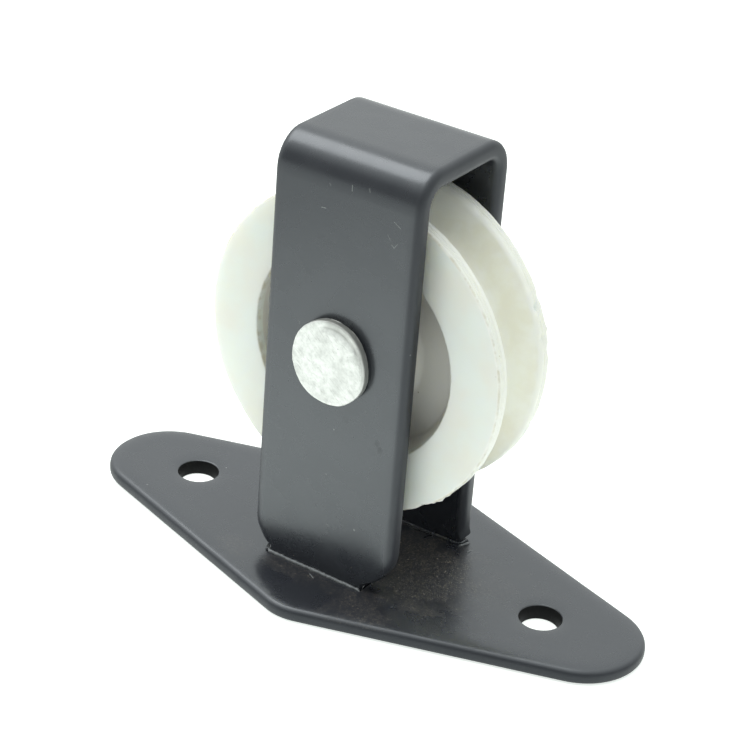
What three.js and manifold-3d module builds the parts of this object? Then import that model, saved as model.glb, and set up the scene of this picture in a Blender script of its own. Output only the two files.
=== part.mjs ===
// Fixed rope pulley: a nylon wheel in a U bracket bent from flat bar, on a diamond-shaped screw plate.
// Millimetres, +Z up. X runs along the plate and Y along the axle, with the rivet's head on the -Y side.
// The origin is the centre of the plate's underside.
import * as THREE from 'three';
import { mergeVertices } from 'three/addons/utils/BufferGeometryUtils.js';
import Module from 'manifold-3d';

const wasm = await Module();
wasm.setup();

// ---- Driving dimensions ----

const CLEARANCE = 0.3; // air around a piece that sits in a hole or slot of another
const ROUND_SEGMENTS = 64; // sides of the wheel
const SMALL_SEGMENTS = 40; // sides of the rivet, tube, washers and holes
const CUT_MARGIN = 1; // how far a cutting solid runs past what it cuts

// Base plate: a rounding at each end and a rounding at each side, joined by straight edges
const PLATE_THICKNESS = 2.4;
const PLATE_END_X = 38.25;
const PLATE_END_RADIUS = 10;
const PLATE_SIDE_Y = 14.7;
const PLATE_SIDE_RADIUS = 8.2;
const PLATE_EDGE_BEVEL = 0.4;
const SCREW_HOLE_X = 32.25;
const SCREW_HOLE_RADIUS = 3.3;

// Bracket: one strap bent into a U, open side down
const STRAP_WIDTH = 25;
const STRAP_THICKNESS = 3;
const BRACKET_DEPTH = 23.4; // across the outer faces of both legs
const BRACKET_HEIGHT = 68.4; // from the plate's top face to the top of the U
const BEND_OUTER_RADIUS = 5.4;
const FRONT_FOOT = { leftRadius: 4.8, rightRadius: 7, gap: 0.6 }; // rounded, and just clear of the plate
const REAR_FOOT = { leftRadius: 1, rightRadius: 1, gap: CLEARANCE }; // cut almost square
const TENON_LEFT_X = -9.2;
const TENON_RIGHT_X = 7.4;
const TENON_RECESS = 0.2; // the tenons end just inside the plate's underside

// Wheel
const AXLE_ABOVE_PLATE = 36.1;
const WHEEL_RADIUS = 25.4;
const WHEEL_WIDTH = 13.7;
const WHEEL_OFFSET_Y = -0.5; // side play, with the wheel resting towards the rivet's head
const RIM_LAND_WIDTH = 1.75;
const RIM_EDGE_RADIUS = 0.35;
const GROOVE_LIP_RADIUS = 1;
const GROOVE_BOTTOM_RADIUS = 3.2;
const GROOVE_FLANK_ANGLE = THREE.MathUtils.degToRad(22); // each flank leans out from the radial direction
const DISH_MOUTH_RADIUS = 17.1;
const DISH_FLOOR_RADIUS = 16.1;
const DISH_DEPTH = 3.6;
const HUB_RADIUS = 9.4;
const HUB_FOOT_RADIUS = 10;

// Axle: rivet, tube between the legs, and a thrust washer at each end of the wheel's hub
const RIVET_SHANK_RADIUS = 4;
const RIVET_HEAD_RADIUS = 6.3;
const RIVET_HEAD_THICKNESS = 1.8;
const RIVET_HEAD_EDGE = 0.4;
const RIVET_TAIL_RADIUS = 5.8;
const RIVET_TAIL_THICKNESS = 2.2;
const SLEEVE_WALL = 1.4;
const WASHER_RADIUS = 10;
const WASHER_THICKNESS = 1;

// ---- Sizes that follow from them ----

const legOuterY = BRACKET_DEPTH / 2;
const legInnerY = legOuterY - STRAP_THICKNESS;
const bracketTop = PLATE_THICKNESS + BRACKET_HEIGHT;
const axleHeight = PLATE_THICKNESS + AXLE_ABOVE_PLATE;
const rivetHoleRadius = RIVET_SHANK_RADIUS + CLEARANCE;
const sleeveRadius = rivetHoleRadius + SLEEVE_WALL;
const runningBoreRadius = sleeveRadius + CLEARANCE;

// ---- Helpers ----

function toSolid(geometry) {
  const bare = geometry.clone();
  bare.deleteAttribute('normal');
  bare.deleteAttribute('uv');
  const merged = mergeVertices(bare, 1e-5);
  return new wasm.Manifold(new wasm.Mesh({
    numProp: 3,
    vertProperties: new Float32Array(merged.attributes.position.array),
    triVerts: new Uint32Array(merged.index.array),
  }));
}

function toGeometry(solid) {
  const mesh = solid.getMesh();
  const geometry = new THREE.BufferGeometry();
  geometry.setAttribute('position', new THREE.BufferAttribute(mesh.vertProperties, mesh.numProp));
  geometry.setIndex(new THREE.BufferAttribute(mesh.triVerts, 1));
  geometry.computeVertexNormals();
  return geometry;
}

// A solid of revolution about the Y axis, from a closed outline of (radius, y) points.
function turned(points, segments) {
  const facesOut = THREE.ShapeUtils.area(points) > 0 ? points : [...points].reverse();
  return new THREE.LatheGeometry([...facesOut, facesOut[0].clone()], segments);
}

function ring(innerRadius, outerRadius, y0, y1) {
  return turned([
    new THREE.Vector2(innerRadius, y0),
    new THREE.Vector2(outerRadius, y0),
    new THREE.Vector2(outerRadius, y1),
    new THREE.Vector2(innerRadius, y1),
  ], SMALL_SEGMENTS);
}

// Points of a circular arc, both ends included.
function arc(centreX, centreY, radius, fromAngle, toAngle, steps) {
  return Array.from({ length: steps + 1 }, (_, i) => {
    const angle = fromAngle + (toAngle - fromAngle) * i / steps;
    return new THREE.Vector2(centreX + radius * Math.cos(angle), centreY + radius * Math.sin(angle));
  });
}

// ---- Sub-parts ----

// The outline is four roundings joined by their common tangents. seam is the angle at which a tangent
// leaves the +X rounding and meets the +Y one.
function plateOutline() {
  const spacing = Math.hypot(PLATE_END_X, PLATE_SIDE_Y);
  const lean = Math.atan2(PLATE_SIDE_Y, PLATE_END_X);
  const seam = Math.acos((PLATE_SIDE_RADIUS - PLATE_END_RADIUS) / spacing) - lean;
  const outline = new THREE.Shape();
  outline.absarc(PLATE_END_X, 0, PLATE_END_RADIUS, -seam, seam);
  outline.absarc(0, PLATE_SIDE_Y, PLATE_SIDE_RADIUS, seam, Math.PI - seam);
  outline.absarc(-PLATE_END_X, 0, PLATE_END_RADIUS, Math.PI - seam, Math.PI + seam);
  outline.absarc(0, -PLATE_SIDE_Y, PLATE_SIDE_RADIUS, Math.PI + seam, 2 * Math.PI - seam);
  outline.closePath();
  return outline;
}

function tenonSlot(side) {
  const left = TENON_LEFT_X - CLEARANCE;
  const right = TENON_RIGHT_X + CLEARANCE;
  const inner = side * (legInnerY - CLEARANCE);
  const outer = side * (legOuterY + CLEARANCE);
  return new THREE.Path([
    new THREE.Vector2(left, inner),
    new THREE.Vector2(right, inner),
    new THREE.Vector2(right, outer),
    new THREE.Vector2(left, outer),
  ]);
}

function basePlate() {
  const outline = plateOutline();
  for (const side of [-1, 1]) {
    outline.holes.push(new THREE.Path().absarc(side * SCREW_HOLE_X, 0, SCREW_HOLE_RADIUS, 0, 2 * Math.PI));
    outline.holes.push(tenonSlot(side));
  }
  return new THREE.ExtrudeGeometry(outline, {
    depth: PLATE_THICKNESS - 2 * PLATE_EDGE_BEVEL,
    bevelThickness: PLATE_EDGE_BEVEL,
    bevelSize: PLATE_EDGE_BEVEL,
    bevelOffset: -PLATE_EDGE_BEVEL,
    bevelSegments: 1,
    curveSegments: 14,
  }).translate(0, 0, PLATE_EDGE_BEVEL);
}

// The strap seen along X: a U with its open side down, extruded over the strap's width.
function strapBentToU() {
  const innerBend = BEND_OUTER_RADIUS - STRAP_THICKNESS;
  const bendY = legOuterY - BEND_OUTER_RADIUS;
  const bendZ = bracketTop - BEND_OUTER_RADIUS;
  const quarter = Math.PI / 2;
  const section = new THREE.Shape();
  section.moveTo(legInnerY, TENON_RECESS);
  section.lineTo(legOuterY, TENON_RECESS);
  section.absarc(bendY, bendZ, BEND_OUTER_RADIUS, 0, quarter);
  section.absarc(-bendY, bendZ, BEND_OUTER_RADIUS, quarter, 2 * quarter);
  section.lineTo(-legOuterY, TENON_RECESS);
  section.lineTo(-legInnerY, TENON_RECESS);
  section.absarc(-bendY, bendZ, innerBend, 2 * quarter, quarter, true);
  section.absarc(bendY, bendZ, innerBend, quarter, 0, true);
  section.closePath();
  const geometry = new THREE.ExtrudeGeometry(section, {
    depth: STRAP_WIDTH, bevelEnabled: false, curveSegments: 8,
  }).translate(0, 0, -STRAP_WIDTH / 2);
  const alongX = new THREE.Matrix4().makeBasis(
    new THREE.Vector3(0, 1, 0), new THREE.Vector3(0, 0, 1), new THREE.Vector3(1, 0, 0));
  return geometry.applyMatrix4(alongX);
}

// One half of the strap seen along Y: straight sides, rounded feet, and the narrower tenon below them.
// side is -1 for the half with the rivet's head and 1 for the other.
function legOutline(side, foot) {
  const halfWidth = STRAP_WIDTH / 2;
  const footZ = PLATE_THICKNESS + foot.gap;
  const rightX = halfWidth - foot.rightRadius;
  const leftX = foot.leftRadius - halfWidth;
  // Where the tenon's side is inside a rounding, that rounding starts there and not at its lowest point.
  const rightStart = -Math.acos(Math.max(0, (TENON_RIGHT_X - rightX) / foot.rightRadius));
  const leftEnd = Math.PI + Math.acos(Math.max(0, (leftX - TENON_LEFT_X) / foot.leftRadius));
  const aboveTop = bracketTop + CUT_MARGIN;
  const belowTenon = -CUT_MARGIN;
  const outline = new THREE.Shape();
  outline.moveTo(TENON_LEFT_X, belowTenon);
  outline.lineTo(TENON_RIGHT_X, belowTenon);
  outline.lineTo(TENON_RIGHT_X, footZ + foot.rightRadius * (1 + Math.sin(rightStart)));
  outline.absarc(rightX, footZ + foot.rightRadius, foot.rightRadius, rightStart, 0);
  outline.lineTo(halfWidth, aboveTop);
  outline.lineTo(-halfWidth, aboveTop);
  outline.absarc(leftX, footZ + foot.leftRadius, foot.leftRadius, Math.PI, leftEnd);
  outline.lineTo(TENON_LEFT_X, footZ + foot.leftRadius * (1 + Math.sin(leftEnd)));
  outline.closePath();
  return new THREE.ExtrudeGeometry(outline, { depth: BRACKET_DEPTH, bevelEnabled: false, curveSegments: 6 })
    .rotateX(Math.PI / 2)
    .translate(0, side < 0 ? 0 : BRACKET_DEPTH, 0);
}

function bracket() {
  const drillLength = BRACKET_DEPTH + 2 * CUT_MARGIN;
  const rivetHole = new THREE.CylinderGeometry(rivetHoleRadius, rivetHoleRadius, drillLength, SMALL_SEGMENTS)
    .translate(0, 0, axleHeight);
  const legs = toSolid(legOutline(-1, FRONT_FOOT)).add(toSolid(legOutline(1, REAR_FOOT)));
  return toGeometry(toSolid(strapBentToU()).intersect(legs).subtract(toSolid(rivetHole)));
}

// Half of the wheel's outline, for y from 0 to its face, seen from the wheel's own middle plane.
function wheelHalfOutline() {
  const face = WHEEL_WIDTH / 2;
  const lipY = face - RIM_LAND_WIDTH;
  const lipRadius = WHEEL_RADIUS - GROOVE_LIP_RADIUS;
  // The bottom arc sits where the flank is tangent to both it and the lip.
  const bottomCentre = lipRadius - (lipY * Math.cos(GROOVE_FLANK_ANGLE)
    - (GROOVE_LIP_RADIUS + GROOVE_BOTTOM_RADIUS)) / Math.sin(GROOVE_FLANK_ANGLE);
  const grooveBottom = arc(bottomCentre, 0, GROOVE_BOTTOM_RADIUS,
    Math.PI, Math.PI / 2 + GROOVE_FLANK_ANGLE, 5);
  const lip = arc(lipRadius, lipY, GROOVE_LIP_RADIUS, -Math.PI / 2 + GROOVE_FLANK_ANGLE, 0, 4);
  const edge = arc(WHEEL_RADIUS - RIM_EDGE_RADIUS, face - RIM_EDGE_RADIUS, RIM_EDGE_RADIUS,
    0, Math.PI / 2, 2);
  const side = [
    new THREE.Vector2(DISH_MOUTH_RADIUS, face),
    new THREE.Vector2(DISH_FLOOR_RADIUS, face - DISH_DEPTH),
    new THREE.Vector2(HUB_FOOT_RADIUS, face - DISH_DEPTH),
    new THREE.Vector2(HUB_RADIUS, face),
    new THREE.Vector2(runningBoreRadius, face),
  ];
  return [...grooveBottom, ...lip, ...edge, ...side];
}

function pulleyWheel() {
  const half = wheelHalfOutline();
  const mirrored = half.slice(1).reverse().map((p) => new THREE.Vector2(p.x, -p.y));
  return turned([...mirrored, ...half], ROUND_SEGMENTS);
}

// One aluminium piece: flat factory head, shank through both legs, and the tail set on the far leg.
function axleRivet() {
  const headY = -legOuterY - RIVET_HEAD_THICKNESS;
  const headEdge = arc(RIVET_HEAD_RADIUS - RIVET_HEAD_EDGE, headY + RIVET_HEAD_EDGE, RIVET_HEAD_EDGE,
    -Math.PI / 2, 0, 3);
  const tailDome = arc(0, 0, 1, 0, Math.PI / 2, 6).map((p) => new THREE.Vector2(
    p.x * RIVET_TAIL_RADIUS, legOuterY + p.y * RIVET_TAIL_THICKNESS));
  tailDome.at(-1).x = 0; // ends exactly on the axis
  return new THREE.LatheGeometry([
    new THREE.Vector2(0, headY),
    ...headEdge,
    new THREE.Vector2(RIVET_HEAD_RADIUS, -legOuterY),
    new THREE.Vector2(RIVET_SHANK_RADIUS, -legOuterY),
    new THREE.Vector2(RIVET_SHANK_RADIUS, legOuterY),
    ...tailDome,
  ], SMALL_SEGMENTS);
}

const thrustWasher = (side) => ring(runningBoreRadius, WASHER_RADIUS,
  side * legInnerY, side * (legInnerY - WASHER_THICKNESS));

// ---- Assembly ----

const paint = { color: 0x3a3d40, roughness: 0.45, metalness: 0.3 };
const nylon = { color: 0xe9ebe6, roughness: 0.4, metalness: 0 };
const aluminium = { color: 0xd6d9d8, roughness: 0.4, metalness: 0.9 };
const steel = { color: 0x9a9da0, roughness: 0.35, metalness: 0.9 };

function piece(name, geometry, finish) {
  const mesh = new THREE.Mesh(geometry, new THREE.MeshStandardMaterial(finish));
  mesh.name = name;
  return mesh;
}

const frame = new THREE.Group();
frame.add(piece('base_plate', basePlate(), paint));
frame.add(piece('bracket', bracket(), paint));

const axle = new THREE.Group();
axle.position.z = axleHeight;
axle.add(piece('axle_rivet', axleRivet(), aluminium));
axle.add(piece('distance_sleeve', ring(rivetHoleRadius, sleeveRadius, -legInnerY, legInnerY), steel));
axle.add(piece('front_washer', thrustWasher(-1), steel));
axle.add(piece('rear_washer', thrustWasher(1), steel));

const wheel = piece('pulley_wheel', pulleyWheel(), nylon);
wheel.position.y = WHEEL_OFFSET_Y;
axle.add(wheel);

const pulley = new THREE.Group();
pulley.add(frame, axle);

export default pulley;
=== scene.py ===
"""Fixed rope pulley: the looks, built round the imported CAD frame. Metres, +Z up, X along the plate."""
import math

import bmesh
import bpy
from mathutils import Matrix, Vector, geometry, noise


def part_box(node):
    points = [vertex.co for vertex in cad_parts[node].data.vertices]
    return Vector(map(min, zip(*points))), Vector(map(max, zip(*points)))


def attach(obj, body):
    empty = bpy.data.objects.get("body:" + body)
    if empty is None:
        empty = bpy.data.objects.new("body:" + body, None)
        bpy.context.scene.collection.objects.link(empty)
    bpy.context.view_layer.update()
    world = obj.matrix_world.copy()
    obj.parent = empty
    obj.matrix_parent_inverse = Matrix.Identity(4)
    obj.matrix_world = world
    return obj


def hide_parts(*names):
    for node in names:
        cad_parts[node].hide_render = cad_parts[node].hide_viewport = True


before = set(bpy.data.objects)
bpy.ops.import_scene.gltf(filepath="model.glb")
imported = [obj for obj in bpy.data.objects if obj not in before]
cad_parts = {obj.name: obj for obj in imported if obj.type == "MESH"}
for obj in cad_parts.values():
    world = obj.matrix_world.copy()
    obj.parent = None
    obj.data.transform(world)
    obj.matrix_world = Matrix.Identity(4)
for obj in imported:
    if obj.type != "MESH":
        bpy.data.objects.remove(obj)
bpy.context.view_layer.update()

MM = 0.001

# ---- Places and sizes, from the frame ----

PLATE_LOW, PLATE_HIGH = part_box("base_plate")
BRACKET_LOW, BRACKET_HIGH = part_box("bracket")
WHEEL_LOW, WHEEL_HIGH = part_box("pulley_wheel")
RIVET_LOW, RIVET_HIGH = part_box("axle_rivet")
SLEEVE_LOW, SLEEVE_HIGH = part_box("distance_sleeve")
_, WASHER_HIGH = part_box("front_washer")

PLATE_TOP = PLATE_HIGH.z
STRAP_HALF_WIDTH = BRACKET_HIGH.x
LEG_OUTER_Y = BRACKET_HIGH.y
LEG_INNER_Y = SLEEVE_HIGH.y
STRAP_THICKNESS = LEG_OUTER_Y - LEG_INNER_Y
AXLE_Z = (WHEEL_LOW.z + WHEEL_HIGH.z) / 2
WHEEL_Y = (WHEEL_LOW.y + WHEEL_HIGH.y) / 2
WHEEL_RADIUS = WHEEL_HIGH.x
WHEEL_HALF_WIDTH = (WHEEL_HIGH.y - WHEEL_LOW.y) / 2
HEAD_RADIUS = RIVET_HIGH.x
SLEEVE_RADIUS = SLEEVE_HIGH.x
WASHER_RADIUS = WASHER_HIGH.x

# ---- Shape details that the frame's boxes don't give ----

CLEARANCE = 0.3 * MM

PLATE_END_RADIUS = 10 * MM
PLATE_SIDE_RADIUS = 8.2 * MM
PLATE_EDGE_RADIUS = 0.8 * MM
# The plate's outline lies this far to the right of its holes.
PLATE_OFF_CENTRE = 0.55 * MM
RIM_ROLL_WIDTH, RIM_ROLL_DEPTH = 3 * MM, 0.3 * MM
SCREW_HOLE_X = 32.25 * MM
SCREW_HOLE_RADIUS = 3.3 * MM
HOLE_EDGE_RADIUS = 0.22 * MM
HOLE_TAPER, HOLE_TAPER_REACH = 0.5 * MM, 5 * MM
DIMPLE_WIDTH, DIMPLE_DEPTH = 1.8 * MM, 0.12 * MM
SHEET_SAG, SHEET_SAG_SIZE = 0.03 * MM, 12 * MM
HAMMERED_SHARE, HAMMERED_SIZE = 0.0012, 7 * MM
PLATE_SPACING = 0.9 * MM

BEND_OUTER_RADIUS = 5.4 * MM
STRAP_EDGE_RADIUS = 1.1 * MM
TENON_EDGE_RADIUS = 0.15 * MM
EDGE_GROWTH = 2.5 * MM
STRAP_SPACING = 0.75 * MM
FRONT_FOOT = {"left": 4.8 * MM, "right": 7 * MM, "gap": 0.6 * MM}
REAR_FOOT = {"left": 1 * MM, "right": 1 * MM, "gap": CLEARANCE}
TENON_LEFT_X = -9.2 * MM
TENON_RIGHT_X = 7.4 * MM

RIM_LAND_WIDTH = 1.75 * MM
RIM_EDGE_RADIUS = 0.3 * MM
GROOVE_LIP_RADIUS = 1 * MM
GROOVE_BOTTOM_RADIUS = 3.2 * MM
GROOVE_FLANK_ANGLE = math.radians(22)
DISH_MOUTH_RADIUS = 17.1 * MM
DISH_FLOOR_RADIUS = 16.1 * MM
DISH_DEPTH = 3.6 * MM
HUB_RADIUS = 9.4 * MM
HUB_FOOT_RADIUS = 10 * MM

SHANK_RADIUS = 4 * MM
RIVET_TAIL_RADIUS = 5.8 * MM

# Sides of the turned pieces.
WHEEL_SEGMENTS, RIVET_SEGMENTS, RING_SEGMENTS = 288, 128, 96

# ---- Camera ----

CAMERA_AZIMUTH, CAMERA_ELEVATION, CAMERA_ROLL = 32.142, 28.311, 4.62
CAMERA_DISTANCE = 362.44 * MM
CAMERA_LENS = 116.684
AIM_ABOVE_PLATE = 30 * MM
AIM_RIGHT, AIM_UP = -0.22 * MM, -0.712 * MM


def add_camera():
    azimuth, elevation, roll = map(math.radians, (CAMERA_AZIMUTH, CAMERA_ELEVATION, CAMERA_ROLL))
    back = Vector((math.sin(azimuth) * math.cos(elevation),
                   -math.cos(azimuth) * math.cos(elevation),
                   math.sin(elevation)))
    level_right = Vector((math.cos(azimuth), math.sin(azimuth), 0))
    level_up = back.cross(level_right)
    right = level_right * math.cos(roll) + level_up * math.sin(roll)
    up = level_up * math.cos(roll) - level_right * math.sin(roll)
    aim = Vector((0, 0, PLATE_TOP + AIM_ABOVE_PLATE)) + right * AIM_RIGHT + up * AIM_UP
    data = bpy.data.cameras.new("camera")
    data.sensor_width = 36
    data.lens = CAMERA_LENS
    data.clip_start, data.clip_end = 0.01, 20
    camera = bpy.data.objects.new("camera", data)
    bpy.context.scene.collection.objects.link(camera)
    turn = Matrix((right, up, back)).transposed().to_4x4()
    camera.matrix_world = Matrix.Translation(aim + back * CAMERA_DISTANCE) @ turn
    bpy.context.scene.camera = camera


# ---- Mesh helpers ----

HAIR = 0.003 * MM


def arc(centre, radius, start, end, steps):
    """Points of a circular arc in a plane, both ends included. Angles in degrees."""
    angles = [math.radians(start + (end - start) * i / steps) for i in range(steps + 1)]
    return [(centre[0] + radius * math.cos(a), centre[1] + radius * math.sin(a)) for a in angles]


def resample(loop, spacing):
    """The closed loop with extra points, so that no side is longer than spacing. The extra points lie a
    hair's breadth inside the material, because three points in one line would give triangles with no area."""
    points = []
    for (x0, y0), (x1, y1) in zip(loop, loop[1:] + loop[:1]):
        dx, dy = x1 - x0, y1 - y0
        length = math.hypot(dx, dy)
        steps = max(1, math.ceil(length / spacing))
        for i in range(steps):
            t = i / steps
            off = 4 * t * (1 - t) * HAIR / length
            points.append((x0 + dx * t - dy * off, y0 + dy * t + dx * off))
    return points


def without_repeats(loop, tolerance=1e-7):
    return [p for p, q in zip(loop, loop[1:] + loop[:1]) if math.dist(p, q) > tolerance]


def signed_area(loop):
    return sum(x0 * y1 - x1 * y0 for (x0, y0), (x1, y1) in zip(loop, loop[1:] + loop[:1])) / 2


def inset(loop, distances):
    """The loop moved to its left by a distance for each point. Material lies to the left of every loop."""
    moved = []
    for before, here, after, distance in zip(loop[-1:] + loop[:-1], loop, loop[1:] + loop[:1], distances):
        sides = [(Vector(b) - Vector(a)).normalized() for a, b in ((before, here), (here, after))]
        normals = [Vector((-s.y, s.x)) for s in sides]
        middle = (normals[0] + normals[1]).normalized()
        moved.append(tuple(Vector(here) + middle * (distance / max(0.5, middle.dot(normals[0])))))
    return moved


def inside(point, loop):
    x, y = point
    odd = False
    for (x0, y0), (x1, y1) in zip(loop, loop[1:] + loop[:1]):
        if (y0 > y) != (y1 > y) and x < x0 + (x1 - x0) * (y - y0) / (y1 - y0):
            odd = not odd
    return odd


def rim_loops(outline, holes, spacing):
    """The outline and the holes, finely divided, with material to the left of each."""
    loops = []
    for number, loop in enumerate([outline] + holes):
        loop = without_repeats(loop)
        if (signed_area(loop) > 0) == (number > 0):
            loop.reverse()
        loops.append(resample(loop, spacing))
    return loops


def rounded_wall(bm, loop, radii, low, high, edge_steps):
    """The wall along one loop, rounded at both ends. Gives its lowest and its highest ring of vertices."""
    turns = [math.pi / 2 * k / edge_steps for k in range(edge_steps + 1)]
    rings = []
    for turn, upper_side in [(turn, False) for turn in turns] + [(turn, True) for turn in reversed(turns)]:
        ring = inset(loop, [r * (1 - math.sin(turn)) for r in radii])
        heights = [r * (1 - math.cos(turn)) for r in radii]
        rings.append([bm.verts.new((x, y, high - h if upper_side else low + h))
                      for (x, y), h in zip(ring, heights)])
    for lower, upper in zip(rings, rings[1:]):
        for i in range(len(lower)):
            j = (i + 1) % len(lower)
            bm.faces.new((lower[i], lower[j], upper[j], upper[i]))
    return rings[0], rings[-1]


def grid_points(loops, spacing):
    """A square grid of points on the material, a little way off every loop."""
    outer, *inner = [inset(loop, [spacing * 0.45] * len(loop)) for loop in loops]
    xs, ys = zip(*loops[0])
    grid = []
    for i in range(1, math.ceil((max(xs) - min(xs)) / spacing)):
        for j in range(1, math.ceil((max(ys) - min(ys)) / spacing)):
            p = (min(xs) + i * spacing, min(ys) + j * spacing)
            if inside(p, outer) and not any(inside(p, loop) for loop in inner):
                grid.append(p)
    return grid


def triangulated(loops, grid):
    """All points of a flat face, and the triangles between them that lie on the material."""
    rim_points = [p for loop in loops for p in loop]
    constraints = []
    for loop in loops:
        start = len(constraints)
        constraints += [(start + i, start + (i + 1) % len(loop)) for i in range(len(loop))]
    points, _, triangles, *_ = geometry.delaunay_2d_cdt(
        [Vector(p) for p in rim_points + grid], constraints, [], 0, 1e-9)
    keep = []
    for t in triangles:
        a, b, c = (points[i] for i in t)
        middle = (a + b + c) / 3
        if inside(middle, loops[0]) and not any(inside(middle, loop) for loop in loops[1:]):
            keep.append(t)
    return points, keep


def slab(outline, holes, low, high, rim_radius, hole_radius, spacing, edge_steps=4):
    """A flat piece between two heights with rounded rims, finely divided so that it can be shaped.
    rim_radius(x, y) gives the rounding at each point of the outline."""
    bm = bmesh.new()
    walls = []
    for number, loop in enumerate(rim_loops(outline, holes, spacing)):
        radii = [hole_radius if number else rim_radius(x, y) for x, y in loop]
        walls.append(rounded_wall(bm, loop, radii, low, high, edge_steps))
    loops = [[(v.co.x, v.co.y) for v in upper] for _, upper in walls]
    points, triangles = triangulated(loops, grid_points(loops, spacing))
    rim_count = sum(len(loop) for loop in loops)
    for side, z in ((0, low), (1, high)):
        verts = [v for wall in walls for v in wall[side]]
        verts += [bm.verts.new((p.x, p.y, z)) for p in points[rim_count:]]
        for t in triangles:
            bm.faces.new([verts[i] for i in (t if side else reversed(t))])
    bmesh.ops.recalc_face_normals(bm, faces=bm.faces)
    return bm


def lathe(profile, centre_y, segments, shape=None):
    """Turns (radius, y) points about the axle. shape(radius, y, angle) may move each point a little."""
    bm = bmesh.new()
    closed = profile[0] == profile[-1]
    rows = profile[:-1] if closed else profile
    rings = []
    for radius, y in rows:
        if radius < 1e-9:
            rings.append([bm.verts.new((0, centre_y + y, AXLE_Z))])
            continue
        ring = []
        for k in range(segments):
            angle = 2 * math.pi * k / segments
            r, yy = shape(radius, y, angle) if shape else (radius, y)
            ring.append(bm.verts.new((r * math.cos(angle), centre_y + yy, AXLE_Z + r * math.sin(angle))))
        rings.append(ring)
    pairs = list(zip(rings, rings[1:])) + ([(rings[-1], rings[0])] if closed else [])
    for a, b in pairs:
        for k in range(segments):
            n = (k + 1) % segments
            corners = [a[k % len(a)], a[n % len(a)], b[n % len(b)], b[k % len(b)]]
            unique = list(dict.fromkeys(corners))
            bm.faces.new(unique)
    bmesh.ops.recalc_face_normals(bm, faces=bm.faces)
    return bm


def add_piece(name, bm, body, material, replaced=(), sharp_angle=38):
    mesh = bpy.data.meshes.new(name)
    bm.to_mesh(mesh)
    bm.free()
    mesh.materials.append(material)
    mesh.polygons.foreach_set("use_smooth", [True] * len(mesh.polygons))
    mesh.set_sharp_from_angle(angle=math.radians(sharp_angle))
    piece = bpy.data.objects.new(name, mesh)
    bpy.context.scene.collection.objects.link(piece)
    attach(piece, body)
    if replaced:
        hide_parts(*replaced)
    return piece


def bump_field(x, y, z, scale, seed=0.0):
    """Smooth noise from -1 to 1 with features of the given size."""
    return noise.noise(Vector((x / scale + seed, y / scale, z / scale)))


def soft_step(low, high, value):
    t = min(1.0, max(0.0, (value - low) / (high - low)))
    return t * t * (3 - 2 * t)


# ---- Materials ----

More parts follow.
